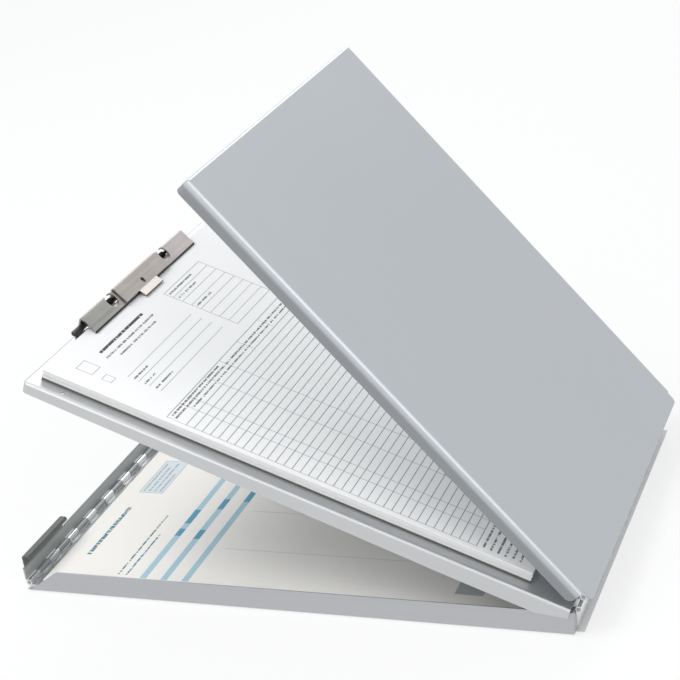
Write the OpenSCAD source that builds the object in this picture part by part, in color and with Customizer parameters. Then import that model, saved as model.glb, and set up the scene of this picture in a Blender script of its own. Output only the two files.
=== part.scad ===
// Storage clipboard box. A shallow sheet tray holds forms, a hinged writing plate with a
// spring clip covers it, and a hinged cover closes over the plate. A low wall with two
// hooks stands up at the tray's open head end and catches the plate's edge.
//
// Frame: +X points to the hinged foot end, +Z is up, and the origin is the middle of the
// tray's underside. The plate and the cover are drawn closed and then turned open about
// their hinge pins. Sizes are in millimetres and degrees.

/* [Sheet and bends] */
// Thickness of the folded sheets and the hinge leaves
sheet_t = 0.8; // [0.6:0.1:1]
// Outer radius of the folded edges
bend_r = 1.6; // [1.3:0.1:2]
// Gap between sheets that move past each other
sheet_gap = 0.5; // [0.4:0.1:0.8]

/* [Forms] */
// Length of a letter-size sheet
form_l = 279.4; // [260:0.1:300]
// Width of a letter-size sheet
form_w = 215.9; // [205:0.1:230]
// Thickness of the pad of forms on the plate
pad_t = 5.1; // [2:0.1:5.4]
// Thickness of the pad's board backing
backing_t = 1; // [0.8:0.1:1.2]
// Distance from the plate's near edge to the pad
pad_inset = 8.6; // [3.6:0.1:12]
// Thickness of the stack of stored forms
stored_t = 3; // [1:0.5:4]

/* [Tray] */
// Room beside the stored forms, inside each side wall
side_room = 4.75; // [3:0.25:10]
// Distance from the stored forms to the foot wall
foot_room = 30.8; // [15:0.1:40]
// Height of the side walls
tray_h = 13.5; // [13:0.5:18]
// Set-back of a side wall's sloped head end at the floor
head_slope_low = 2.8; // [2:0.2:6]
// Set-back of a side wall's sloped head end at its top
head_slope_high = 20.8; // [14:0.2:26]

/* [Piano hinges] */
// Diameter of the hinge pins
pin_d = 2; // [1.6:0.1:2.2]
// Radial clearance of a pin in a knuckle
pin_fit = 0.05; // [0.03:0.01:0.08]
// Number of knuckles along each hinge
knuckle_count = 19; // [11:2:25]
// Gap between neighbouring knuckles
knuckle_gap = 0.4; // [0.3:0.1:0.8]
// Distance from a side of the tray to the end of a hinge
hinge_inset = 4; // [3:0.5:8]
// Width of a hinge leaf, measured from its pin
leaf_w = 9.8; // [9:0.2:10.4]
// Running gap around a knuckle
knuckle_clear = 0.3; // [0.25:0.05:0.4]
// Distance between the two pins of the spine
spine_d = 8.1; // [8:0.1:12]
// Depth of the tray hinge's pin below the plate's top
pin_below_plate = 1.4; // [1.2:0.1:2]

/* [Rivets] */
// Diameter of the rivet shanks
rivet_d = 2.4; // [2:0.1:2.8]
// Diameter of the rivet heads
rivet_head_d = 4; // [3.6:0.1:4.4]
// Height of the domed rivet heads
rivet_head_h = 0.7; // [0.5:0.1:0.9]
// Number of rivets along each hinge leaf
rivet_count = 6; // [4:1:9]

/* [Latch wall] */
// Reach of the latch hinge's leaf over the tray's floor
latch_leaf_in = 6; // [5:0.1:8]
// Distance of the latch pin beyond the tray's head edge
latch_out = 1.5; // [1.3:0.1:2]
// Height of the latch wall above its pin
latch_wall_h = 9.4; // [8:0.2:10]
// Height of the hooks above the latch pin
hook_h = 16.6; // [16.4:0.2:18]
// Width of a hook
hook_w = 44.4; // [30:0.4:46]
// Distance of a hook from the side of the tray
hook_inset = 5.6; // [5:0.2:9]
// Inward reach of a hook from the wall's outer face
hook_reach = 5; // [4.6:0.1:5.4]
// Drop of a hook's curled tip
hook_drop = 2; // [1.6:0.1:2.4]
// Length of the slots in the floor's head edge
floor_slot = 2.6; // [2.2:0.1:3.4]

/* [Writing plate] */
// Distance from the tray's head edge to the closed plate's head edge
plate_set_back = 5.65; // [5.3:0.05:6]
// Gap between the tray's walls and the closed plate above them
plate_lift = 0.2; // [0.2:0.05:0.4]
// Depth of the plate's rim at the head end
plate_rim_head = 6.6; // [6:0.1:8]
// Depth of the plate's rim near the hinge
plate_rim_foot = 9.7; // [8.2:0.1:10]
// Length of the deep part of the rim, from the hinge pin
deep_rim_l = 70; // [40:1:120]
// Length over which the deep rim tapers off towards the hinge pin
rim_taper_l = 20; // [12:1:30]
// Depth of the rim where it ends at the fold
rim_end_depth = 5.3; // [4:0.1:7]
// Corner radius of the plate and the cover at the head end, seen from above
head_corner_r = 3; // [2.2:0.1:5]
// Diameter of the small hole beside the pad, one at each side
side_hole_d = 2; // [1.6:0.2:3]
// Distance from the plate's head edge to the small holes
side_hole_x = 21.7; // [14:0.1:60]
// Distance from a side of the plate to its small hole
side_hole_inset = 4.2; // [3:0.1:5]

/* [Cover] */
// Distance from the plate's head edge to the closed cover's head edge
cover_set_back = 29.2; // [24:0.1:60]
// Distance from a side of the plate to the cover's side
cover_side_step = 1.3; // [0.8:0.1:2.5]
// Gap between the closed cover's side rims and the plate
cover_lift = 0.75; // [0.5:0.05:1]
// Radius of the foot ends of the cover's rims and of its foot edge's corners
foot_corner_r = 3.5; // [2:0.5:8]
// Distance from the hinge pin to the foot end of the cover's rims
rim_set_back = 3; // [2.8:0.1:14]
// Outer radius of the bends along the cover's sides
cover_bend_r = 3; // [1.6:0.1:3.4]
// Reach of the cover's face beyond its hinge pin
cover_reach = 4.2; // [3.4:0.1:5]
// Depth of the lip at the cover's foot edge
cover_lip = 1.7; // [1.6:0.1:2]

/* [Clip] */
// Thickness of the clip's steel parts
clip_t = 0.9; // [0.8:0.05:1]
// Distance of the clip's middle from the plate's middle
clip_y = 8.9; // [0:0.1:12]
// Distance from the plate's head edge to the clip's rod
clip_rod_set = 3.2; // [3.2:0.1:5]
// Height of the rod above the plate
clip_rod_h = 6.4; // [5.6:0.1:7]
// Diameter of the rod
clip_rod_d = 2; // [1.8:0.1:2.2]
// Length of the jaw along the rod
jaw_w = 130.4; // [120:0.4:140]
// Forward reach of the jaw from the rod
jaw_reach = 9.6; // [9:0.1:12]
// Height of the jaw's rear edge above the rod
jaw_rise = 5.1; // [4:0.1:6]
// Drop of the jaw's lip below its front bend
lip_drop = 0.4; // [0.3:0.1:0.6]
// Gap between the jaw's lip and the pad
lip_gap = 0.1; // [0.05:0.05:0.3]
// Gap between the clip's curls and the pad's head edge
clip_pad_gap = 1.5; // [0.3:0.1:2.5]
// Diameter of the two round holes in the jaw
jaw_hole_d = 9; // [7:0.5:10]
// Distance of the round holes in front of the rod
jaw_hole_x = 2.4; // [1:0.1:3]
// Length of each of the jaw's two curls around the rod
jaw_curl_w = 18; // [14:1:20]
// Width of the lever
lever_w = 54.4; // [50:0.4:60]
// Depth of the notch in the jaw's rear edge that the lifted lever turns in
lever_notch = 3.9; // [3.6:0.1:4.4]
// Gap between the lever and the jaw under it
lever_gap = 0.35; // [0.3:0.05:0.6]
// Width of the lever's finger tongue
tongue_w = 22; // [18:1:30]
// Length of the tongue beyond the jaw
tongue_l = 4; // [3:0.5:6]
// Drop of the tongue's tip
tongue_drop = 1.2; // [0.6:0.1:1.6]
// Diameter of the cap on the rod's near end
rod_cap_d = 3.3; // [3:0.1:3.8]
// Length of the cap on the rod's near end
rod_cap_l = 7.6; // [6:0.2:10]
// Diameter of the spring wire
spring_wire_d = 0.8; // [0.6:0.1:0.8]
// Number of turns in each spring
spring_turns = 12; // [8:1:14]
// Gap between the lever's ends and the springs
spring_side_gap = 1.3; // [1:0.1:1.6]

/* [Pose] */
// Opening angle of the writing plate
plate_open = 22.4; // [0:0.1:60]
// Opening angle of the cover from the plate
cover_open = 29.1; // [0:0.1:100]

/* [Hidden] */
$fn = 48;
nothing = 0.01;

// Hinge sizes: a knuckle is a sheet rolled around the pin.
pin_r = pin_d / 2;
bore_r = pin_r + pin_fit;
knuckle_r = bore_r + sheet_t;
head_room = latch_leaf_in + sheet_gap;
tray_l = head_room + form_l + foot_room + sheet_t;
tray_w = form_w + 2 * (side_room + sheet_t);
hinge_w = tray_w - 2 * hinge_inset;
knuckle_pitch = hinge_w / knuckle_count;

// The tray hinge's pin, the spine's upper pin and the latch pin.
foot_x = tray_l / 2;
hinge_x = foot_x + knuckle_r;
plate_top = tray_h + plate_lift + sheet_t;
lower_z = plate_top - pin_below_plate;
upper_z = lower_z + spine_d;
foot_wall_h = lower_z - knuckle_r - sheet_gap;
head_x = -tray_l / 2;
latch_x = head_x - latch_out;
latch_z = sheet_t + knuckle_r;

// The plate hangs its rims outside the tray's walls.
plate_w = tray_w + 2 * (sheet_gap + sheet_t);
plate_head_x = head_x + plate_set_back;
flange_w = hinge_w;
flange_top = upper_z - knuckle_r;

// The cover's face lies over its hinge's knuckles.
cover_top = upper_z + knuckle_r + knuckle_clear + sheet_t;
cover_rim = cover_top - plate_top - cover_lift;
cover_head_x = plate_head_x + cover_set_back;
cover_w = plate_w - 2 * cover_side_step;
cover_foot_x = hinge_x + cover_reach;
rim_foot_x = hinge_x - rim_set_back;
pad_top = plate_top + backing_t + pad_t;
head_rim_low = pad_top + cover_lift;

// The clip's rod and the shapes that turn on it.
rod_x = plate_head_x + clip_rod_set;
rod_z = plate_top + clip_rod_h;
rod_r = clip_rod_d / 2;
rod_bore_r = rod_r + pin_fit;
curl_r = rod_bore_r + clip_t;
ear_w = 2 * rod_bore_r + 1.2;
ear_y = jaw_w / 2 + sheet_gap + clip_t / 2;
base_w = 2 * ear_y + 2 * clip_t;
cap_y = ear_y + clip_t / 2 + knuckle_clear;
pad_head_x = rod_x + curl_r + clip_pad_gap;
lip_low = backing_t + pad_t + lip_gap - clip_rod_h + clip_t / 2;
jaw_front_z = lip_low + lip_drop;

// The springs lie beside the lever, and the jaw's round holes show them.
coil_pitch = spring_wire_d + 0.15;
coil_l = spring_turns * coil_pitch;
spring_y = lever_w / 2 + spring_side_gap + coil_l / 2;

// ---- Poses ----

// Turns its children, drawn closed, about the tray hinge.
module on_plate() {
    translate([hinge_x, 0, lower_z])
        rotate([0, plate_open, 0])
            translate([-hinge_x, 0, -lower_z])
                children();
}

// Turns its children, drawn closed, about the spine's upper pin as well.
module on_cover() {
    on_plate()
        translate([hinge_x, 0, upper_z])
            rotate([0, cover_open, 0])
                translate([-hinge_x, 0, -upper_z])
                    children();
}

// ---- Shared shapes ----

// A rectangle whose lower corners are rounded, one or both.
module folded_section(w, h, r, left = true, right = true) {
    left_r = left ? r : 0;
    right_r = right ? r : 0;
    translate([0, r])
        square([w, h - r]);
    translate([left_r, 0])
        square([w - left_r - right_r, r + nothing]);
    if (left) translate([r, r]) circle(r);
    if (right) translate([w - r, r]) circle(r);
}

// A rectangle with its own radius at the head corners and at the foot corners.
module plan_section(l, w, head_r, foot_r) {
    translate([head_r, -w / 2])
        square([l - head_r - foot_r, w]);
    translate([0, -w / 2 + head_r])
        square([head_r + nothing, w - 2 * head_r]);
    translate([l - foot_r - nothing, -w / 2 + foot_r])
        square([foot_r + nothing, w - 2 * foot_r]);
    for (side = [-1, 1]) {
        translate([head_r, side * (w / 2 - head_r)]) circle(head_r);
        translate([l - foot_r, side * (w / 2 - foot_r)]) circle(foot_r);
    }
}

// A block from x = 0 to l, standing on z = 0, with its long lower edges rounded, and
// the lower edge of its head or foot end too.
module folded_block(l, w, h, side_r, end_r, head = true, foot = true) {
    intersection() {
        translate([0, -w / 2, 0])
            rotate([90, 0, 90])
                linear_extrude(l)
                    folded_section(w, h, side_r);
        translate([0, w / 2, 0])
            rotate([90, 0, 0])
                linear_extrude(w)
                    folded_section(l, h, end_r, head, foot);
    }
}

// Extrudes an outline drawn in X and Z over a width centred on y = 0.
module across(w) {
    translate([0, w / 2, 0])
        rotate([90, 0, 0])
            linear_extrude(w)
                children();
}

// A strip of sheet bent through a list of points, drawn in X and Z.
module bent_strip(points, t) {
    for (i = [0:len(points) - 2]) {
        step = points[i + 1] - points[i];
        translate(points[i])
            rotate(atan2(step[1], step[0]))
                translate([0, -t / 2])
                    square([norm(step), t]);
    }
    for (point = points) translate(point) circle(d = t);
}

// A cylinder along Y, centred on the point where it is drawn.
module along_y(r, l) {
    rotate([90, 0, 0])
        cylinder(r = r, h = l, center = true);
}

// Repeats its children at every second knuckle, counted from the near end.
module each_knuckle(first) {
    for (i = [first:2:knuckle_count - 1])
        translate([0, -hinge_w / 2 + (i + 0.5) * knuckle_pitch, 0])
            children();
}

// The solid knuckles of one leaf, around the Y axis.
module knuckle_row(first) {
    each_knuckle(first)
        along_y(knuckle_r, knuckle_pitch - knuckle_gap);
}

// The room that the other leaf's knuckles turn in.
module knuckle_room(first) {
    each_knuckle(first)
        along_y(knuckle_r + knuckle_clear, knuckle_pitch + knuckle_gap);
}

// A rivet along Z: its grip starts at z = 0 and a domed head closes the top, and the
// bottom too where the space below is free.
module rivet(grip, both = true) {
    dome_r = (pow(rivet_head_d / 2, 2) + pow(rivet_head_h, 2)) / (2 * rivet_head_h);
    cylinder(d = rivet_d, h = grip);
    for (flip = both ? [0, 1] : [0])
        translate([0, 0, flip ? 0 : grip])
            mirror([0, 0, flip])
                intersection() {
                    cylinder(d = rivet_head_d, h = rivet_head_h);
                    translate([0, 0, rivet_head_h - dome_r]) sphere(dome_r);
                }
}

// Repeats its children at the rivets of a hinge leaf, midway between knuckles.
module each_rivet() {
    for (i = [0:rivet_count - 1])
        translate([0, hinge_w * ((i + 0.5) / rivet_count - 0.5), 0])
            children();
}

// The hole that a rivet's shank fills.
module rivet_hole(depth) {
    translate([0, 0, -depth / 2])
        cylinder(d = rivet_d + 2 * pin_fit, h = depth);
}

// ---- Tray ----

tray_rivet_z = lower_z - leaf_w + rivet_head_d / 2 + 0.8;

module bottom_tray() {
    color([0.70, 0.71, 0.73])
        difference() {
            translate([head_x, 0, 0])
                folded_block(tray_l, tray_w, tray_h, bend_r, bend_r, head = false);
            translate([head_x - 1, 0, sheet_t])
                folded_block(tray_l - sheet_t + 1, tray_w - 2 * sheet_t, tray_h,
                    bend_r - sheet_t, bend_r - sheet_t, head = false);
            // Lower wall behind the hinge
            translate([foot_x - sheet_t - nothing, -hinge_w / 2 - 1, foot_wall_h])
                cube([sheet_t + 1, hinge_w + 2, tray_h]);
            // Sloped head ends of the side walls
            across(tray_w + 2)
                polygon([
                    [head_x - 1, bend_r],
                    [head_x + head_slope_low, bend_r],
                    [head_x + head_slope_high, tray_h + nothing],
                    [head_x - 1, tray_h + nothing]
                ]);
            // Slots in the floor's head edge at the moving knuckles
            each_knuckle(1)
                translate([head_x - 1, -(knuckle_pitch - knuckle_gap) / 2, -1])
                    cube([floor_slot + 1, knuckle_pitch - knuckle_gap, sheet_t + 2]);
            each_rivet()
                translate([foot_x, 0, tray_rivet_z]) rotate([0, 90, 0]) rivet_hole(4);
        }
}

// The leaf of the latch's hinge is spot-welded to the tray's floor.
module latch_leaf() {
    color([0.78, 0.79, 0.81])
        difference() {
            union() {
                translate([latch_x, -hinge_w / 2, latch_z - knuckle_r])
                    cube([latch_out + latch_leaf_in, hinge_w, sheet_t]);
                translate([latch_x, 0, latch_z]) knuckle_row(0);
            }
            translate([latch_x, 0, latch_z]) {
                along_y(bore_r, hinge_w + 1);
                knuckle_room(1);
            }
            each_knuckle(1)
                translate([latch_x - 1, -(knuckle_pitch - knuckle_gap) / 2, 0])
                    cube([latch_out + floor_slot + 1, knuckle_pitch - knuckle_gap, latch_z]);
        }
}

module latch_pin() {
    color([0.60, 0.60, 0.62])
        translate([latch_x, 0, latch_z])
            along_y(pin_r, hinge_w);
}

module latch_wall() {
    mid = -knuckle_r + sheet_t / 2;
    tip = -knuckle_r + hook_reach;
    top = hook_h - sheet_t / 2;
    color([0.55, 0.57, 0.58])
        translate([latch_x, 0, latch_z])
            difference() {
                union() {
                    translate([-knuckle_r, -hinge_w / 2, 0])
                        cube([sheet_t, hinge_w, latch_wall_h]);
                    knuckle_row(1);
                    for (side = [-1, 1])
                        translate([0, side * (tray_w / 2 - hook_inset - hook_w / 2), 0])
                            across(hook_w)
                                bent_strip([
                                    [mid, latch_wall_h - 2],
                                    [mid, top - 0.6],
                                    [mid + 0.6, top],
                                    [tip - 0.9, top],
                                    [tip - 0.4, top - 0.5],
                                    [tip - 0.4, hook_h - hook_drop]
                                ], sheet_t);
                }
                along_y(bore_r, hinge_w + 1);
                knuckle_room(0);
            }
}

module tray_hinge_leaf() {
    color([0.76, 0.77, 0.79])
        difference() {
            union() {
                translate([foot_x, -hinge_w / 2, lower_z - leaf_w])
                    cube([sheet_t, hinge_w, leaf_w]);
                translate([hinge_x, 0, lower_z]) knuckle_row(0);
            }
            translate([hinge_x, 0, lower_z]) {
                along_y(bore_r, hinge_w + 1);
                knuckle_room(1);
            }
            each_rivet()
                translate([foot_x, 0, tray_rivet_z]) rotate([0, 90, 0]) rivet_hole(4);
        }
}

module tray_hinge_rivets() {
    color([0.80, 0.81, 0.82])
        each_rivet()
            translate([foot_x - sheet_t, 0, tray_rivet_z])
                rotate([0, 90, 0])
                    rivet(2 * sheet_t);
}

module lower_hinge_pin() {
    color([0.60, 0.60, 0.62])
        translate([hinge_x, 0, lower_z])
            along_y(pin_r, hinge_w);
}

module stored_forms() {
    color([0.93, 0.95, 0.96])
        translate([head_x + head_room, -form_w / 2, sheet_t])
            cube([form_l, form_w, stored_t]);
}

// ---- Writing plate, drawn closed ----

spine_mid_z = (lower_z + upper_z) / 2;

// The plate's side view: its rims deepen towards the hinge and end short of it.
module plate_side() {
    polygon([
        [plate_head_x, plate_top],
        [plate_head_x, plate_top - plate_rim_head],
        [hinge_x - deep_rim_l, plate_top - plate_rim_foot],
        [hinge_x - rim_taper_l, plate_top - plate_rim_foot],
        [foot_x - bend_r, plate_top - rim_end_depth],
        [foot_x - bend_r, plate_top]
    ]);
}

// The foot end folds up into a flange that carries the spine. Its flat run lies in the
// plate's own sheet.
module plate_flange() {
    run = bend_r + 2;
    rise = flange_top - plate_top + sheet_t;
    across(flange_w)
        translate([foot_x - run, plate_top - sheet_t])
            difference() {
                folded_section(run, rise, bend_r, left = false);
                translate([-1, sheet_t])
                    folded_section(run - sheet_t + 1, rise, bend_r - sheet_t, left = false);
            }
}

// A folded pan turned upside down, with rounded head corners.
module cap_block(l, w, top, h, side_r, end_r, head_r, foot_r) {
    intersection() {
        translate([0, 0, top])
            mirror([0, 0, 1])
                folded_block(l, w, h, side_r, end_r, head = true, foot = false);
        translate([0, 0, top - h])
            linear_extrude(h)
                plan_section(l, w, head_r, foot_r);
    }
}

module writing_plate() {
    plate_len = foot_x - bend_r - plate_head_x;
    color([0.70, 0.71, 0.73])
        on_plate()
            difference() {
                union() {
                    intersection() {
                        translate([plate_head_x, 0, 0])
                            difference() {
                                cap_block(plate_len, plate_w, plate_top, plate_rim_foot,
                                    bend_r, bend_r, head_corner_r, nothing);
                                translate([sheet_t, 0, 0])
                                    cap_block(plate_len, plate_w - 2 * sheet_t,
                                        plate_top - sheet_t, plate_rim_foot,
                                        bend_r - sheet_t, bend_r - sheet_t,
                                        head_corner_r - sheet_t, nothing);
                            }
                        across(plate_w) plate_side();
                    }
                    plate_flange();
                }
                each_rivet()
                    translate([foot_x, 0, spine_mid_z]) rotate([0, 90, 0]) rivet_hole(4);
                each_clip_rivet() rivet_hole(4);
                for (side = [-1, 1])
                    translate([plate_head_x + side_hole_x,
                        side * (plate_w / 2 - side_hole_inset), plate_top - 2])
                        cylinder(d = side_hole_d, h = 3);
            }
}

module spine_strip() {
    color([0.76, 0.77, 0.79])
        on_plate()
            difference() {
                union() {
                    translate([foot_x, -hinge_w / 2, lower_z])
                        cube([sheet_t, hinge_w, spine_d]);
                    for (z = [lower_z, upper_z])
                        translate([hinge_x, 0, z]) knuckle_row(1);
                }
                for (z = [lower_z, upper_z])
                    translate([hinge_x, 0, z]) {
                        along_y(bore_r, hinge_w + 1);
                        knuckle_room(0);
                    }
                each_rivet()
                    translate([foot_x, 0, spine_mid_z]) rotate([0, 90, 0]) rivet_hole(4);
            }
}

module spine_rivets() {
    color([0.80, 0.81, 0.82])
        on_plate()
            each_rivet()
                translate([foot_x - sheet_t, 0, spine_mid_z])
                    rotate([0, 90, 0])
                        rivet(2 * sheet_t);
}

module upper_hinge_pin() {
    color([0.60, 0.60, 0.62])
        on_plate()
            translate([hinge_x, 0, upper_z])
                along_y(pin_r, hinge_w);
}

module pad_backing() {
    color([0.42, 0.40, 0.36])
        on_plate()
            translate([pad_head_x, pad_inset - plate_w / 2, plate_top])
                cube([form_l, form_w, backing_t]);
}

module form_pad() {
    color([0.96, 0.96, 0.96])
        on_plate()
            translate([pad_head_x, pad_inset - plate_w / 2, plate_top + backing_t])
                cube([form_l, form_w, pad_t]);
}

// ---- Clip, drawn closed ----

// Places its children on the plate's top, at the middle of the clip's rod.
module on_clip_seat() {
    translate([rod_x, clip_y, plate_top])
        children();
}

// Places its children at the middle of the clip's rod.
module on_clip_rod() {
    translate([rod_x, clip_y, rod_z])
        children();
}

// Places its children at the rivets that hold the clip's base, on the plate's underside.
module each_clip_rivet() {
    for (y = [-1, -1 / 3, 1 / 3, 1] * (jaw_w - jaw_curl_w) / 2)
        on_clip_seat()
            translate([0, y, -sheet_t])
                children();
}

module clip_base() {
    color([0.12, 0.12, 0.12])
        on_plate()
            difference() {
                union() {
                    on_clip_seat()
                        translate([-curl_r, -base_w / 2, 0])
                            cube([2 * curl_r, base_w, clip_t]);
                    for (side = [-1, 1])
                        translate([0, side * ear_y, 0]) {
                            on_clip_rod() along_y(ear_w / 2, clip_t);
                            on_clip_seat()
                                translate([-ear_w / 2, -clip_t / 2, 0])
                                    cube([ear_w, clip_t, clip_rod_h]);
                        }
                }
                on_clip_rod() along_y(rod_bore_r, base_w);
                each_clip_rivet() rivet_hole(8);
            }
}

module clip_rivets() {
    color([0.62, 0.61, 0.60])
        on_plate()
            each_clip_rivet()
                rivet(sheet_t + clip_t);
}

// The rod is headed at its far end and capped at its near end.
module clip_rod() {
    near_end = cap_y + rod_cap_l - 1.5;
    far_end = ear_y + clip_t / 2;
    color([0.66, 0.65, 0.64])
        on_plate()
            on_clip_rod() {
                translate([0, (far_end - near_end) / 2, 0])
                    along_y(rod_r, near_end + far_end);
                translate([0, far_end + 0.3, 0])
                    along_y(rod_r + 0.5, 0.6);
            }
}

module rod_cap() {
    bore_l = rod_cap_l - 1.2;
    color([0.06, 0.06, 0.065])
        on_plate()
            on_clip_rod()
                translate([0, -cap_y, 0])
                    rotate([90, 0, 0])
                        difference() {
                            union() {
                                cylinder(d = rod_cap_d, h = rod_cap_l - 0.6);
                                translate([0, 0, rod_cap_l - 0.6])
                                    cylinder(d1 = rod_cap_d, d2 = rod_cap_d - 1.2, h = 0.6);
                            }
                            translate([0, 0, -1]) cylinder(r = rod_bore_r, h = bore_l + 1);
                        }
}

// The two springs sit on the rod between the lever's curl and the jaw's curls.
module clip_springs() {
    coil_r = rod_r + 0.2 + spring_wire_d / 2;
    color([0.72, 0.70, 0.66])
        on_plate()
            on_clip_rod()
                for (side = [-1, 1])
                    for (i = [0:spring_turns - 1])
                        translate([0, side * spring_y + (i + 0.5) * coil_pitch - coil_l / 2, 0])
                            rotate([90, 0, 0])
                                rotate_extrude()
                                    translate([coil_r, 0])
                                        circle(d = spring_wire_d + 0.2, $fn = 24);
}

// The jaw's plate slopes down from its rear edge to a lip that presses on the pad.
module clip_jaw() {
    rear = -curl_r + clip_t / 2;
    lever_room = lever_w + 2 * sheet_gap;
    color([0.66, 0.64, 0.62])
        on_plate()
            on_clip_rod()
                difference() {
                    union() {
                        across(jaw_w)
                            bent_strip([
                                [rear, jaw_rise - 0.5],
                                [rear + 0.5, jaw_rise],
                                [jaw_reach - clip_t, jaw_front_z],
                                [jaw_reach - clip_t / 2, lip_low]
                            ], clip_t);
                        for (side = [-1, 1])
                            translate([0, side * (jaw_w - jaw_curl_w) / 2, 0]) {
                                along_y(curl_r, jaw_curl_w);
                                across(jaw_curl_w)
                                    bent_strip([[rear, 0], [rear, jaw_rise - 0.5]], clip_t);
                            }
                    }
                    along_y(rod_bore_r, jaw_w + 1);
                    // Room for the lever's rear wall, and for its plate when it is lifted
                    translate([-curl_r - 1, -lever_room / 2, 0])
                        cube([lever_notch + 1, lever_room, jaw_rise + 2]);
                    for (side = [-1, 1])
                        translate([jaw_hole_x, side * spring_y, 0])
                            cylinder(d = jaw_hole_d, h = jaw_rise + 2);
                }
}

// The lever lies over the middle of the jaw and ends in a finger tongue.
module clip_lever() {
    rear = -curl_r + clip_t / 2;
    front = jaw_reach - clip_t;
    lever_rise = jaw_rise + clip_t + lever_gap;
    over_lip = jaw_front_z + clip_t + lever_gap;
    color([0.72, 0.70, 0.68])
        on_plate()
            on_clip_rod()
                difference() {
                    union() {
                        across(lever_w)
                            bent_strip([
                                [rear, 0],
                                [rear, lever_rise - 0.7],
                                [rear + 0.7, lever_rise],
                                [front, over_lip]
                            ], clip_t);
                        across(tongue_w)
                            bent_strip([
                                [front - 0.3, over_lip],
                                [front + clip_t + tongue_l, over_lip - tongue_drop]
                            ], clip_t - 0.1);
                        along_y(curl_r, lever_w);
                    }
                    along_y(rod_bore_r, lever_w + 1);
                    translate([front - 2.6, -1, 0]) cylinder(d = 3.4, h = lever_rise + 2);
                }
}

// ---- Cover, drawn closed ----

// The cover's side view: its rims are rounded at the foot end.
module cover_side() {
    translate([cover_head_x, cover_top - cover_rim])
        folded_section(rim_foot_x - cover_head_x, cover_rim, foot_corner_r, left = false);
}

// The face runs on over the hinge, as wide as the hinge, and ends in a small lip.
module cover_tongue() {
    root = 2;
    run = cover_foot_x - rim_foot_x + root;
    lip_r = sheet_t + 0.4;
    translate([rim_foot_x - root, 0, cover_top])
        mirror([0, 0, 1])
            intersection() {
                across(hinge_w)
                    difference() {
                        folded_section(run, cover_lip, lip_r, left = false);
                        translate([-1, sheet_t])
                            folded_section(run - sheet_t + 1, cover_lip, lip_r - sheet_t,
                                left = false);
                    }
                linear_extrude(cover_lip)
                    plan_section(run, hinge_w, nothing, foot_corner_r);
            }
}

module cover() {
    cover_len = rim_foot_x - cover_head_x;
    window_w = cover_w - 2 * head_corner_r;
    color([0.72, 0.74, 0.76])
        on_cover()
            difference() {
                union() {
                    intersection() {
                        translate([cover_head_x, 0, 0])
                            difference() {
                                cap_block(cover_len, cover_w, cover_top, cover_rim,
                                    cover_bend_r, bend_r, head_corner_r, nothing);
                                translate([sheet_t, 0, 0])
                                    cap_block(cover_len, cover_w - 2 * sheet_t,
                                        cover_top - sheet_t, cover_rim,
                                        cover_bend_r - sheet_t, bend_r - sheet_t,
                                        head_corner_r - sheet_t, nothing);
                            }
                        across(cover_w) cover_side();
                    }
                    cover_tongue();
                }
                // The head rim stays clear of a pad that lies under the cover
                translate([cover_head_x - 1, -window_w / 2, cover_top - cover_rim - 1])
                    cube([sheet_t + 2, window_w, head_rim_low - cover_top + cover_rim + 1]);
            }
}

// The cover's leaf is spot-welded under its face.
module cover_hinge_leaf() {
    leaf_top = cover_top - sheet_t;
    color([0.78, 0.79, 0.81])
        on_cover()
            difference() {
                union() {
                    translate([hinge_x - leaf_w, -hinge_w / 2, leaf_top - sheet_t])
                        cube([leaf_w, hinge_w, sheet_t]);
                    translate([hinge_x, 0, upper_z]) knuckle_row(0);
                }
                translate([hinge_x, 0, upper_z]) {
                    along_y(bore_r, hinge_w + 1);
                    knuckle_room(1);
                }
            }
}

bottom_tray();
latch_leaf();
latch_pin();
latch_wall();
tray_hinge_leaf();
tray_hinge_rivets();
lower_hinge_pin();
stored_forms();
writing_plate();
spine_strip();
spine_rivets();
upper_hinge_pin();
clip_base();
clip_rivets();
clip_rod();
rod_cap();
clip_springs();
clip_jaw();
clip_lever();
pad_backing();
form_pad();
cover();
cover_hinge_leaf();
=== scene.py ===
import math

import bpy
from mathutils import Matrix, Vector


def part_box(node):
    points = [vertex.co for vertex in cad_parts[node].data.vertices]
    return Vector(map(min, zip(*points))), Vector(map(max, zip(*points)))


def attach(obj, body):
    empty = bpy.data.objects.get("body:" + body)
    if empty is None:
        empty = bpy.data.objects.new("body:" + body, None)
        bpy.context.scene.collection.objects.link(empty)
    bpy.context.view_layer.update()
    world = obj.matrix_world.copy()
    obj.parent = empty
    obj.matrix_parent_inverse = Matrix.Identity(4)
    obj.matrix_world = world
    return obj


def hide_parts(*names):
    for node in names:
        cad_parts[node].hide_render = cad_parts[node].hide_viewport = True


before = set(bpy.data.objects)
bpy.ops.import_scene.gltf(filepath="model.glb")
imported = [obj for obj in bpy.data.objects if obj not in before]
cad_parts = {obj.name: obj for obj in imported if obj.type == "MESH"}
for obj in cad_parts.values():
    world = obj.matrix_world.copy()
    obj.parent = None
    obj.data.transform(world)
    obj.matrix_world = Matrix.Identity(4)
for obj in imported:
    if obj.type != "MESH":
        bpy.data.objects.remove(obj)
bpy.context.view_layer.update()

# ---- Studio ----
# The box lies open on a white sweep. A long lens looks down on its near corner at the
# photograph's angle, a little rolled, and broad soft lamps light it from above.

MM = 0.001
eye = Vector((377.3, -835.0, 508.0)) * MM
yaw, pitch, roll = math.radians(23.14), math.radians(24.71), math.radians(-8.45)
ahead = Vector((
    -math.sin(yaw) * math.cos(pitch), math.cos(yaw) * math.cos(pitch), -math.sin(pitch)))
level_right = ahead.cross(Vector((0, 0, 1))).normalized()
level_up = level_right.cross(ahead)
right = level_right * math.cos(roll) + level_up * math.sin(roll)
up = level_up * math.cos(roll) - level_right * math.sin(roll)

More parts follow.
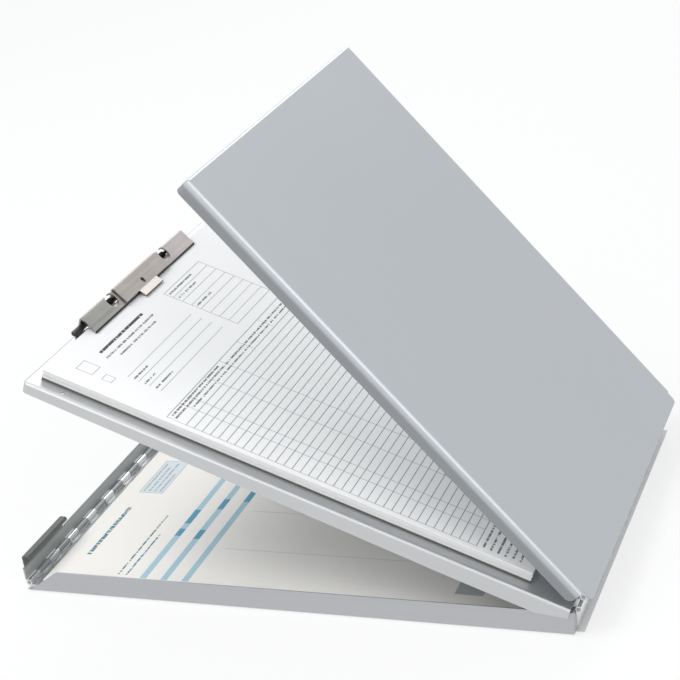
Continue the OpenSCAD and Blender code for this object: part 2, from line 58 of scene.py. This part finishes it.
lens = bpy.data.cameras.new("studio_camera")
lens.sensor_width = 36.0
lens.lens = 94.05
lens.shift_x = -0.0434
lens.shift_y = 0.0418
lens.clip_start = 0.01
camera = bpy.data.objects.new("studio_camera", lens)
bpy.context.scene.collection.objects.link(camera)
camera.matrix_world = Matrix((
    (right.x, up.x, -ahead.x, eye.x),
    (right.y, up.y, -ahead.y, eye.y),
    (right.z, up.z, -ahead.z, eye.z),
    (0, 0, 0, 1),
))
bpy.context.scene.camera = camera
bpy.context.scene.view_settings.view_transform = "Standard"

lamp_target = Vector((0, 0, 0.1))
for name, place, size, watts in (
    ("key_lamp", (-1.1, -0.7, 2.0), 1.2, 27),
    ("front_lamp", (-0.5, -1.8, 1.1), 1.2, 6),
    ("fill_lamp", (1.6, -0.9, 1.2), 1.4, 10),
    ("back_lamp", (-0.2, 1.7, 1.5), 1.2, 10),
):
    lamp = bpy.data.lights.new(name, "AREA")
    lamp.size = size
    lamp.energy = watts
    softbox = bpy.data.objects.new(name, lamp)
    bpy.context.scene.collection.objects.link(softbox)
    softbox.location = place
    softbox.rotation_euler = (lamp_target - Vector(place)).to_track_quat("-Z", "Y").to_euler()


class Wire:
    """A value on its way through a material; arithmetic on it adds Math nodes."""

    def __init__(self, tree, socket):
        self.tree = tree
        self.socket = socket

    def math(self, operation, *values):
        node = self.tree.nodes.new("ShaderNodeMath")
        node.operation = operation
        for slot, value in zip(node.inputs, values):
            feed(self.tree, slot, value)
        return Wire(self.tree, node.outputs[0])

    def __add__(self, other):
        return self.math("ADD", self, other)

    __radd__ = __add__

    def __sub__(self, other):
        return self.math("SUBTRACT", self, other)

    def __rsub__(self, other):
        return self.math("SUBTRACT", other, self)

    def __mul__(self, other):
        return self.math("MULTIPLY", self, other)

    __rmul__ = __mul__

    def __truediv__(self, other):
        return self.math("DIVIDE", self, other)

    def __gt__(self, other):
        return self.math("GREATER_THAN", self, other)

    def __lt__(self, other):
        return self.math("LESS_THAN", self, other)

    def __or__(self, other):
        return self.math("MAXIMUM", self, other)

    def __abs__(self):
        return self.math("ABSOLUTE", self)

    def within(self, low, high):
        """1 where the value lies between low and high, and 0 elsewhere."""
        return (self > low) * (self < high)

    def phase(self, pitch):
        """The place within each pitch, from 0 to 1."""
        return self.math("FRACT", self / pitch)


def feed(tree, slot, value):
    """Links a wire to a socket, or sets a plain value on it."""
    if isinstance(value, Wire):
        tree.links.new(value.socket, slot)
    elif slot.type == "RGBA" and len(value) == 3:
        slot.default_value = (*value, 1)
    else:
        slot.default_value = value


def backdrop(tree, plain, glow_kind, amount, end):
    """Shows a backdrop white to the camera, and in what metal and glass mirror."""
    rays = tree.nodes.new("ShaderNodeLightPath").outputs
    seen = (Wire(tree, rays["Is Camera Ray"])
            | Wire(tree, rays["Is Glossy Ray"])
            | Wire(tree, rays["Is Transmission Ray"]))
    glow = tree.nodes.new(glow_kind)
    feed(tree, glow.inputs["Color"], (1, 1, 1))
    mix = tree.nodes.new("ShaderNodeMixShader")
    feed(tree, mix.inputs[0], seen * amount)
    feed(tree, mix.inputs[1], Wire(tree, plain.outputs[0]))
    feed(tree, mix.inputs[2], Wire(tree, glow.outputs[0]))
    feed(tree, end.inputs["Surface"], Wire(tree, mix.outputs[0]))


world = bpy.data.worlds.new("studio_world")
bpy.context.scene.world = world
world.use_nodes = True
dim_sky = world.node_tree.nodes["Background"]
dim_sky.inputs["Color"].default_value = (0.94, 0.97, 1.0, 1)
dim_sky.inputs["Strength"].default_value = 0.55
backdrop(world.node_tree, dim_sky, "ShaderNodeBackground", 1.0,
         world.node_tree.nodes["World Output"])

sweep_size, sweep_drop, sweep_glow = 8, 0.0004, 0.72
bpy.ops.object.select_all(action="DESELECT")
bpy.ops.mesh.primitive_plane_add(size=sweep_size, location=(0, 0, -sweep_drop))
floor = bpy.context.active_object
floor.name = "studio_floor"
sweep = bpy.data.materials.new("studio_sweep")
sweep.use_nodes = True
sweep_nodes = sweep.node_tree.nodes
matt = sweep_nodes["Principled BSDF"]
matt.inputs["Base Color"].default_value = (0.86, 0.86, 0.86, 1)
matt.inputs["Roughness"].default_value = 0.9
matt.inputs["Specular IOR Level"].default_value = 0.0

# Painted shadow: the sweep doesn't glow right under the tray, so that the slots in its floor look
# dark as in the tray's shade
tray_reach_x, tray_reach_y = 0.1625, 0.109
spot = sweep_nodes.new("ShaderNodeSeparateXYZ")
here = sweep_nodes.new("ShaderNodeTexCoord").outputs["Object"]
sweep.node_tree.links.new(here, spot.inputs[0])
outside_painted_shadow = ((abs(Wire(sweep.node_tree, spot.outputs["X"])) > tray_reach_x)
               | (abs(Wire(sweep.node_tree, spot.outputs["Y"])) > tray_reach_y))
backdrop(sweep.node_tree, matt, "ShaderNodeEmission", outside_painted_shadow * sweep_glow,
         sweep_nodes["Material Output"])
floor.data.materials.append(sweep)

# ---- Bottom tray ----
# The tray is one piece of mill-finish aluminium sheet, folded up on three sides. The
# rolled sheet shows a fine grain along its length and faint handling marks.


class Finish:
    """A material with one Principled shader, built up node by node."""

    def __init__(self, name, colour, roughness, metallic=0.0):
        self.material = bpy.data.materials.new(name)
        self.material.use_nodes = True
        self.tree = self.material.node_tree
        self.shader = self.tree.nodes["Principled BSDF"]
        self.set(Base_Color=colour, Roughness=roughness, Metallic=metallic)

    def set(self, **values):
        """Feeds the Principled shader's own sockets."""
        for name, value in values.items():
            feed(self.tree, self.shader.inputs[name.replace("_", " ")], value)

    def node(self, kind, settings=None, output=0, **values):
        """Adds a node: its settings first, then values or links for its sockets."""
        node = self.tree.nodes.new("ShaderNode" + kind)
        for name, value in (settings or {}).items():
            setattr(node, name, value)
        for name, value in values.items():
            feed(self.tree, node.inputs[name.replace("_", " ")], value)
        return Wire(self.tree, node.outputs[output])

    def place(self, leaf=None, stretch=(1, 1, 1)):
        """Object coordinates, laid flat with an open leaf and stretched."""
        here = self.node("TexCoord", output="Object")
        if leaf is not None:
            here = self.node("Mapping", Vector=here,
                             Rotation=(0, -leaf.tilt, 0), Location=leaf.shift)
        return self.node("Mapping", Vector=here, Scale=stretch)

    def axes(self, leaf=None):
        """The laid-flat coordinates x, y and z, in millimetres."""
        split = self.node("SeparateXYZ", Vector=self.place(leaf, (1 / MM, 1 / MM, 1 / MM)))
        return [Wire(self.tree, socket) for socket in split.socket.node.outputs]

    def blend(self, value, low, high):
        """Rises smoothly from 0 to 1 while a value goes from low to high."""
        return self.node("MapRange", {"interpolation_type": "SMOOTHSTEP"},
                         Value=value, From_Min=low, From_Max=high)

    def mix(self, factor, first, second):
        """A colour between two others."""
        node = self.tree.nodes.new("ShaderNodeMix")
        node.data_type = "RGBA"
        for slot, value in ((0, factor), (6, first), (7, second)):
            feed(self.tree, node.inputs[slot], value)
        return Wire(self.tree, node.outputs[2])

    def noise(self, vector, scale, detail=3.0, rough=0.5):
        return self.node("TexNoise", Vector=vector, Scale=scale, Detail=detail, Roughness=rough)

    def relief(self, height, strength, distance):
        """A normal raised by a pattern."""
        return self.node("Bump", Strength=strength, Distance=distance, Height=height)


def rolled_sheet(name, colour, roughness, leaf=None):
    """Metal sheet with cloudy tones and fine streaks along X, for a leaf at a tilt."""
    made = Finish(name, colour, roughness, metallic=0.9)
    grain_along_x = (6, 420, 420)
    streaks = made.noise(made.place(leaf, grain_along_x), scale=1.0, detail=2.0)
    marks = made.noise(made.place(leaf), scale=9.0, detail=4.0, rough=0.6)
    clouds = made.noise(made.place(leaf), scale=3.2, detail=2.0)
    made.tone = clouds * 0.5 + streaks * 0.35 + marks * 0.15
    darker, lighter = [tuple(part * factor for part in colour) for factor in (0.94, 1.06)]
    made.set(
        Base_Color=made.mix(made.tone, darker, lighter),
        Roughness=roughness - 0.05 + streaks * 0.06 + marks * 0.06,
        Normal=made.relief(streaks, strength=0.06, distance=0.0004),
    )
    return made


def dress(name, made):
    """Gives a CAD node its finish."""
    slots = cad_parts[name].data.materials
    if len(slots) == 0:
        slots.append(made.material)
    for index in range(len(slots)):
        slots[index] = made.material


dress("bottom_tray", rolled_sheet("tray_sheet", (0.47, 0.48, 0.50), 0.42))

# ---- Latch hinge and latch wall ----
# The latch wall is thinner, duller sheet on a piano hinge. Its two hooks, where the plate's edge
# snaps under them, are coloured near black as a painted reflection of the plate's shaded
# underside, and the wall below stays bright.

hinge_sheet = rolled_sheet("hinge_sheet", (0.74, 0.75, 0.76), 0.24)
pin_steel = rolled_sheet("pin_steel", (0.36, 0.36, 0.38), 0.30)
dress("latch_leaf", hinge_sheet)
dress("latch_pin", pin_steel)

hooks_start, hooks_full = 10.5, 13.5
grain_along_y = (420, 9, 420)
latch = Finish("latch_sheet", (0.55, 0.56, 0.57), 0.36, metallic=0.35)
height = latch.axes()[2]
streaks = latch.noise(latch.place(stretch=grain_along_y), scale=1.0, detail=2.0)
reflection_mottle = latch.noise(latch.place(), scale=30.0)
wall_tone = latch.mix(streaks, (0.34, 0.36, 0.36), (0.58, 0.60, 0.60))
# Painted reflection: from hooks_start up the hooks turn near black, as if mirroring the plate's
# shaded underside
hook_painted_reflection = latch.mix(reflection_mottle, (0.09, 0.10, 0.095), (0.16, 0.17, 0.16))
latch.set(
    Base_Color=latch.mix(latch.blend(height, hooks_start, hooks_full), wall_tone, hook_painted_reflection),
    Roughness=0.30 + streaks * 0.12,
    Normal=latch.relief(streaks, strength=0.08, distance=0.0004),
)
dress("latch_wall", latch)

# ---- Tray hinge ----
# A piano hinge joins the tray's foot wall to the spine. Its leaf is riveted outside the
# wall, and the rivets' low domes are polished by handling.

rivet_metal = rolled_sheet("rivet_metal", (0.62, 0.63, 0.64), 0.26)
dress("tray_hinge_leaf", hinge_sheet)
dress("tray_hinge_rivets", rivet_metal)
dress("lower_hinge_pin", pin_steel)

# ---- Stored forms ----
# A stack of loose printed forms lies in the tray, its sheets never quite in line. The
# top form is cream, with teal bars across it, and its print is generic.


def select_only(*things):
    """Selects some objects and makes the first one active."""
    bpy.ops.object.select_all(action="DESELECT")
    for thing in things:
        thing.select_set(True)
    bpy.context.view_layer.objects.active = things[0]


def settle():
    """Puts the selected objects' place, turn and size into their meshes."""
    bpy.ops.object.transform_apply(location=True, rotation=True, scale=True)


def join_as(name, parts):
    select_only(*parts)
    bpy.ops.object.join()
    parts[0].name = name
    return parts[0]


def slab(name, low, high, edge, turn=0.0):
    """A flat slab between two corners in millimetres, its edges softened."""
    low, high = Vector(low) * MM, Vector(high) * MM
    bpy.ops.object.select_all(action="DESELECT")
    bpy.ops.mesh.primitive_cube_add(size=1, location=(low + high) / 2)
    made = bpy.context.active_object
    made.name = name
    made.scale = high - low
    made.rotation_euler[2] = math.radians(turn)
    settle()
    bpy.ops.object.mode_set(mode="EDIT")
    bpy.ops.mesh.select_all(action="SELECT")
    bpy.ops.mesh.bevel(offset=edge * MM, segments=2, profile=0.6)
    bpy.ops.object.mode_set(mode="OBJECT")
    return made


def sheaf(name, low, high, places):
    """A stack of bundled sheets from low to high, each moved by (x, y, turn)."""
    depth = (high[2] - low[2]) / len(places)
    soft_edge = min(0.14, depth * 0.3)
    bundles = []
    for index, (along, aside, turn) in enumerate(places):
        bottom = low[2] + index * depth
        bundles.append(slab(
            name,
            (low[0] + along, low[1] + aside, bottom),
            (high[0] + along, high[1] + aside, bottom + depth),
            soft_edge, turn))
    return join_as(name, bundles)


def print_all(x, y, rectangles):
    """1 inside printed rectangles (x from, x to, y from, y to), in millimetres."""
    total = None
    for x_from, x_to, y_from, y_to in rectangles:
        box = x.within(x_from, x_to) * y.within(y_from, y_to)
        total = box if total is None else total | box
    return total


def lettering(made, x, y, rectangles, leaf=None, gaps=0.44):
    """Rows of small broken marks that read as print from a distance."""
    mark_shape = (260, 820, 1)
    marks = made.noise(made.place(leaf, mark_shape), scale=1.0, detail=1.0) > gaps
    return print_all(x, y, rectangles) * marks


def outline(x_from, x_to, y_from, y_to, line):
    """The four thin sides of a printed frame."""
    return [
        (x_from, x_from + line, y_from, y_to),
        (x_to - line, x_to, y_from, y_to),
        (x_from, x_to, y_from, y_from + line),
        (x_from, x_to, y_to - line, y_to),
    ]


low, high = (Vector(corner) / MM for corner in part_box("stored_forms"))
stored = sheaf("stored_sheets", low, high, [
    (0.0, 0.0, 0.0), (0.3, -0.5, 0.1), (0.1, 0.6, -0.08), (0.4, -0.2, 0.12), (0.2, 0.3, 0.0),
])

form = Finish("printed_form", (0.80, 0.79, 0.75), 0.75)
x, y = form.axes()[:2]
bar_width, bar_end = 4.0, 98
bar_1, bar_2, bar_3 = -95, -82, -69
bars = print_all(x, y, [
    (bar, bar + bar_width, -bar_end, bar_end) for bar in (bar_1, bar_2, bar_3)])
dark_bars = print_all(x, y, [
    (bar, bar + bar_width, y_from, y_to) for bar, y_from, y_to in (
        (bar_1, -52, -44), (bar_1, -38, -22), (bar_2, -54, -44), (bar_2, -20, -8), (bar_3, -10, 6))
])
dark_words = lettering(form, x, y, [
    (-139.2, -136.6, -78, -24), (-110, -108.8, -96, -30), (-105, -103.8, -96, -52),
])
blue_field = (-141, -125, -6, 34)
frames = print_all(x, y, outline(*blue_field, 0.5) + [
    (-58, 84, -62, -61.7), (-58, 84, -20, -19.7), (88, 104, -90, -70), (88, 104, 40, 60),
])
field = print_all(x, y, [blue_field])
small_words = lettering(form, x, y, [
    (-139, -137.8, -4, 30), (-135.4, -134.2, -4, 26),
    (-131.8, -130.6, -4, 31), (-128.2, -127, -4, 18),
])
soft = form.noise(form.place(), scale=14.0)
faded = form.noise(form.place(), scale=22.0, detail=2.0)
cream = form.mix(soft, (0.86, 0.84, 0.80), (0.91, 0.89, 0.86))
teal = form.mix(faded, (0.30, 0.50, 0.60), (0.50, 0.68, 0.76))
pale_blue, dark_teal = (0.62, 0.72, 0.78), (0.10, 0.32, 0.46)
line_grey, dark_ink, grey_ink = (0.30, 0.34, 0.36), (0.10, 0.20, 0.26), (0.25, 0.28, 0.31)
colour = form.mix(field * 0.8, cream, pale_blue)
colour = form.mix(bars, colour, teal)
colour = form.mix(dark_bars, colour, dark_teal)
colour = form.mix(frames * 0.7, colour, line_grey)
colour = form.mix(dark_words, colour, dark_ink)
colour = form.mix(small_words * 0.8, colour, grey_ink)
form.set(Base_Color=colour, Roughness=0.72 + soft * 0.1)
stored.data.materials.append(form.material)
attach(stored, "tray")
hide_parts("stored_forms")

# ---- Writing plate ----
# The plate is folded down at both long edges and at its head, and up at its foot, where
# the spine is riveted on. Handling has left faint marks along its rolling grain.


class Leaf:
    """An open leaf: its tilt, and the shift that lays it flat about its hinge pin."""

    def __init__(self, degrees, pin, closed_pin):
        self.tilt = math.radians(degrees)
        self.pin = pin
        self.closed_pin = closed_pin
        self.shift = closed_pin - Matrix.Rotation(-self.tilt, 3, "Y") @ pin


def middle(node):
    low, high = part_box(node)
    return (Vector(low) + Vector(high)) / 2


lower_pin = middle("lower_hinge_pin")
plate_leaf = Leaf(22.4, lower_pin, lower_pin)
dress("writing_plate", rolled_sheet("plate_sheet", (0.56, 0.57, 0.58), 0.40, plate_leaf))
dress("spine_strip", rolled_sheet("leaf_sheet", (0.60, 0.61, 0.62), 0.28, plate_leaf))
dress("spine_rivets", rivet_metal)
dress("upper_hinge_pin", pin_steel)

# ---- Pad of forms and its board ----
# The clip holds a pad of letter-size forms on a grey board. The top form is a ruled
# table under a head with fields, and its print is generic.


def flat_box(node, leaf):
    """A tilted node's lowest and highest corner while its leaf lies closed, in mm."""
    turn = Matrix.Rotation(-leaf.tilt, 3, "Y")
    spots = [turn @ vertex.co + leaf.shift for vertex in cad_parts[node].data.vertices]
    return [Vector([pick(spot[axis] for spot in spots) for axis in range(3)]) / MM
            for pick in (min, max)]


def open_up(piece, leaf):
    """Turns a piece, modelled lying closed, open with its leaf."""
    select_only(piece)
    piece.matrix_world = (Matrix.Translation(leaf.pin) @ Matrix.Rotation(leaf.tilt, 4, "Y")
                          @ Matrix.Translation(-leaf.closed_pin) @ piece.matrix_world)
    settle()


board_edge = 0.18
low, high = flat_box("pad_backing", plate_leaf)
board = slab("pad_board", low, high, board_edge)
open_up(board, plate_leaf)
greyboard = Finish("greyboard", (0.10, 0.10, 0.09), 0.9)
fibre_size = (200, 200, 900)
fibres = greyboard.noise(greyboard.place(stretch=fibre_size), scale=1.0)
greyboard.set(Base_Color=greyboard.mix(fibres, (0.07, 0.07, 0.065), (0.15, 0.145, 0.13)))
board.data.materials.append(greyboard.material)
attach(board, "plate")
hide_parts("pad_backing")

low, high = flat_box("form_pad", plate_leaf)
pad = sheaf("pad_sheets", low, high, [
    (0.0, 0.1, 0.0), (0.2, -0.1, 0.02), (-0.1, 0.1, 0.0), (0.2, 0.2, -0.03), (0.0, -0.2, 0.02),
    (0.3, 0.0, 0.0), (-0.1, 0.1, -0.02), (0.1, -0.1, 0.0), (0.0, 0.0, 0.0),
])
open_up(pad, plate_leaf)

ruled = Finish("ruled_form", (0.82, 0.82, 0.81), 0.7)
x, y, z = ruled.axes(plate_leaf)
thin = 0.35
table_top, table_end, row_pitch = -63.7, 101.3, 4.7
line_share, last_line = 0.11, 0.4
near, far = -103, 103
row_line = (x - table_top).phase(row_pitch) < line_share
rows = row_line * x.within(table_top, table_end + last_line) * y.within(near, far)
table_columns = (near, -87, -78, -55, -35, far)
heading, heading_columns = -74.7, (near, -87, -78, -55, -35, -10, 20, 50, 76, far)
address_lines = (-107.8, -101.2, -94.8, -87.8)
field_lines = (-123.8, -117.8, -111.8, -105.8, -99.8, -93.8, -87.8)
columns = print_all(
    x, y,
    [(table_top, table_end, place, place + thin) for place in table_columns]
    + [(heading, table_top, place, place + 0.3) for place in heading_columns]
    + [(heading - 0.2, heading + 0.3, near, far)]
    + [(place, place + thin, -83, -1) for place in address_lines]
    + [(place, place + thin, 8, 57) for place in field_lines]
    + outline(-129.8, -81.8, 8, 57, 0.4)
    + outline(-133.5, -123.5, -94, -84, 0.4)
    + outline(-118, -112, -94, -88, thin))
title = lettering(ruled, x, y, [(-130.9, -129.1, -72, -20)], plate_leaf, gaps=0.36)
words = lettering(ruled, x, y, [
    # Under the title
    (-125.4, -124.2, -74, -16), (-121, -119.8, -66, -22),
    # The table's heading
    (-73.4, -72.2, -100, -40), (-70.8, -69.6, -101, 98), (-67.6, -66.6, -86, 60),
    # The address lines and the fields
    (-104.6, -103.4, -83, -66), (-98, -96.9, -83, -70), (-91.3, -90.2, -83, -62),
    (-127.4, -126.2, 10, 40), (-121.4, -120.2, 10, 34), (-109.4, -108.2, 10, 30),
    # The foot of the page
    (104, 105.2, -102, -78), (108, 109.2, -102, -60), (112, 113.2, -102, -84),
    (116, 117.2, -102, -70), (120, 121.2, -102, -78), (124, 125.2, -102, -74),
], plate_leaf)
soft = ruled.noise(ruled.place(plate_leaf), scale=9.0)
page_layers = (3, 3, 6000)
pages = ruled.noise(ruled.place(plate_leaf, page_layers), scale=1.0, detail=1.0)
edge_top, face_height = 20.2, 20.45
page_edge = 1.0 - ruled.blend(z, edge_top, face_height)
page_tone = ruled.mix(pages, (0.55, 0.55, 0.55), (0.92, 0.92, 0.91))
line_grey, word_ink, title_ink = (0.24, 0.25, 0.27), (0.10, 0.10, 0.11), (0.05, 0.05, 0.06)
colour = ruled.mix(soft, (0.90, 0.90, 0.90), (0.95, 0.95, 0.945))
colour = ruled.mix(page_edge, colour, page_tone)
colour = ruled.mix((rows | columns) * 0.9, colour, line_grey)
colour = ruled.mix(words * 0.9, colour, word_ink)
colour = ruled.mix(title, colour, title_ink)
ruled.set(Base_Color=colour, Roughness=0.66 + soft * 0.1)
pad.data.materials.append(ruled.material)
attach(pad, "plate")
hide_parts("form_pad")

# ---- Clip ----
# The jaw and the lever are nickel-plated steel with fine streaks, with painted shade at their
# near end and a painted highlight towards their far end. The base under them is blackened,
# and the rod ends in a cap.


def plated(name, near_painted_shade, middle_tone, far_painted_highlight, edge_x):
    """Nickel along the clip with painted shade at the near end and a painted highlight at the far
    end, with a painted shadow line along its front edge.
    """
    made = Finish(name, middle_tone, 0.24, metallic=0.95)
    brushing, bright_steel, edge_painted_shadow = (500, 14, 500), (0.62, 0.60, 0.58), (0.03, 0.03, 0.03)
    x, y = made.axes(plate_leaf)[:2]
    streaks = made.noise(made.place(plate_leaf, brushing), scale=1.0)
    blots = made.noise(made.place(plate_leaf), scale=40.0, detail=4.0, rough=0.6)
    # Painted shade and highlight: the tone darkens towards the near end and lightens towards the
    # far end
    tone = made.mix(made.blend(y, -45, -5), near_painted_shade, middle_tone)
    tone = made.mix(made.blend(y, 20, 62), tone, far_painted_highlight)
    tone = made.mix(streaks * 0.5 + blots * 0.3, tone, bright_steel)
    # Painted shadow: a near-black line along the front edge, where the lip's shadow falls
    front_edge_shadow = made.blend(x, edge_x - 0.2, edge_x + 0.2)
    made.set(
        Base_Color=made.mix(front_edge_shadow, tone, edge_painted_shadow),
        Roughness=0.18 + streaks * 0.14 + blots * 0.08,
        Normal=made.relief(streaks, strength=0.10, distance=0.0003),
    )
    return made


jaw_lip, tongue_tip = -141.0, -136.2
dress("clip_jaw", plated(
    "jaw_nickel", (0.17, 0.18, 0.17), (0.25, 0.22, 0.20), (0.40, 0.36, 0.37), jaw_lip))
dress("clip_lever", plated(
    "lever_nickel", (0.27, 0.25, 0.23), (0.27, 0.24, 0.22), (0.30, 0.27, 0.26), tongue_tip))
dress("clip_rivets", rivet_metal)
black_steel = Finish("black_steel", (0.02, 0.02, 0.02), 0.45)
scuffs = black_steel.noise(black_steel.place(plate_leaf), scale=60.0)
black_steel.set(Base_Color=black_steel.mix(scuffs, (0.012, 0.012, 0.013), (0.035, 0.035, 0.034)))
dress("clip_base", black_steel)
dress("rod_cap", black_steel)

# ---- Clip springs ----
# Two close-wound torsion springs sit on the rod, one on each side of the lever, under
# the jaw's round holes. Their wire and the rod are coloured near black as painted shade,
# so that the jaw's holes look dark inside.


def coil(name, centre, length, turns, wire, radius):
    """A helical spring along Y about a point, all in millimetres."""
    steps_per_turn, wire_sides = 22, 10
    bpy.ops.object.select_all(action="DESELECT")
    bpy.ops.mesh.primitive_circle_add(
        vertices=wire_sides, radius=wire / 2 * MM, location=(radius * MM, 0, 0))
    made = bpy.context.active_object
    made.name = name
    settle()
    bpy.ops.object.modifier_add(type="SCREW")
    wind = made.modifiers[-1]
    wind.axis = "Y"
    wind.angle = math.radians(360 * turns)
    wind.screw_offset = (length - wire) * MM
    wind.steps = steps_per_turn * turns
    wind.render_steps = steps_per_turn * turns
    bpy.ops.object.modifier_apply(modifier=wind.name)
    bpy.ops.object.mode_set(mode="EDIT")
    bpy.ops.mesh.select_all(action="SELECT")
    bpy.ops.mesh.fill_holes(sides=0)
    bpy.ops.mesh.normals_make_consistent(inside=False)
    bpy.ops.object.mode_set(mode="OBJECT")
    bpy.ops.object.shade_smooth_by_angle(angle=math.radians(50))
    made.location = (Vector(centre) - Vector((0, length / 2 - wire / 2, 0))) * MM
    settle()
    return made


coil_length, coil_turns, coil_wire, coil_radius = 11.4, 12, 0.8, 1.6
low, high = flat_box("clip_springs", plate_leaf)
axle = (low + high) / 2
near_side, far_side = low[1] + coil_length / 2, high[1] - coil_length / 2
both_springs = join_as("coil_springs", [
    coil(name, (axle[0], side, axle[2]), coil_length, coil_turns, coil_wire, coil_radius)
    for name, side in (("near_spring", near_side), ("far_spring", far_side))
])
open_up(both_springs, plate_leaf)

# Painted shade: the wire and the rod are near black, so that the jaw's holes look dark inside
spring_steel = Finish("spring_steel", (0.02, 0.02, 0.02), 0.85)
spring_steel.set(Specular_IOR_Level=0.1)
sheen = spring_steel.noise(spring_steel.place(plate_leaf), scale=300.0, detail=2.0)
spring_steel.set(Base_Color=spring_steel.mix(sheen, (0.008, 0.008, 0.008), (0.03, 0.03, 0.03)))
both_springs.data.materials.append(spring_steel.material)
dress("clip_rod", spring_steel)
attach(both_springs, "plate")
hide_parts("clip_springs")

# ---- Cover ----
# The cover is a shallow folded pan like the plate, a shade bluer, with cloudy handling
# marks on its face and painted shade on its rims. A leaf of the spine's hinge is welded under it.

pin_distance = Vector((0, 0, 8.1)) * MM
cover_leaf = Leaf(51.5, middle("upper_hinge_pin"), lower_pin + pin_distance)
# Painted shade: below face_start the rims turn a darker grey than the face
rim_top, face_start, rim_painted_shade = 19.5, 21.8, (0.29, 0.30, 0.315)
cover_sheet = rolled_sheet("cover_sheet", (0.48, 0.505, 0.53), 0.42, cover_leaf)
height = cover_sheet.axes(cover_leaf)[2]
face = cover_sheet.mix(cover_sheet.tone, (0.455, 0.48, 0.505), (0.505, 0.53, 0.555))
on_face = cover_sheet.blend(height, rim_top, face_start)
cover_sheet.set(Base_Color=cover_sheet.mix(on_face, rim_painted_shade, face))
dress("cover", cover_sheet)
dress("cover_hinge_leaf", rolled_sheet("cover_leaf_sheet", (0.60, 0.61, 0.62), 0.28, cover_leaf))
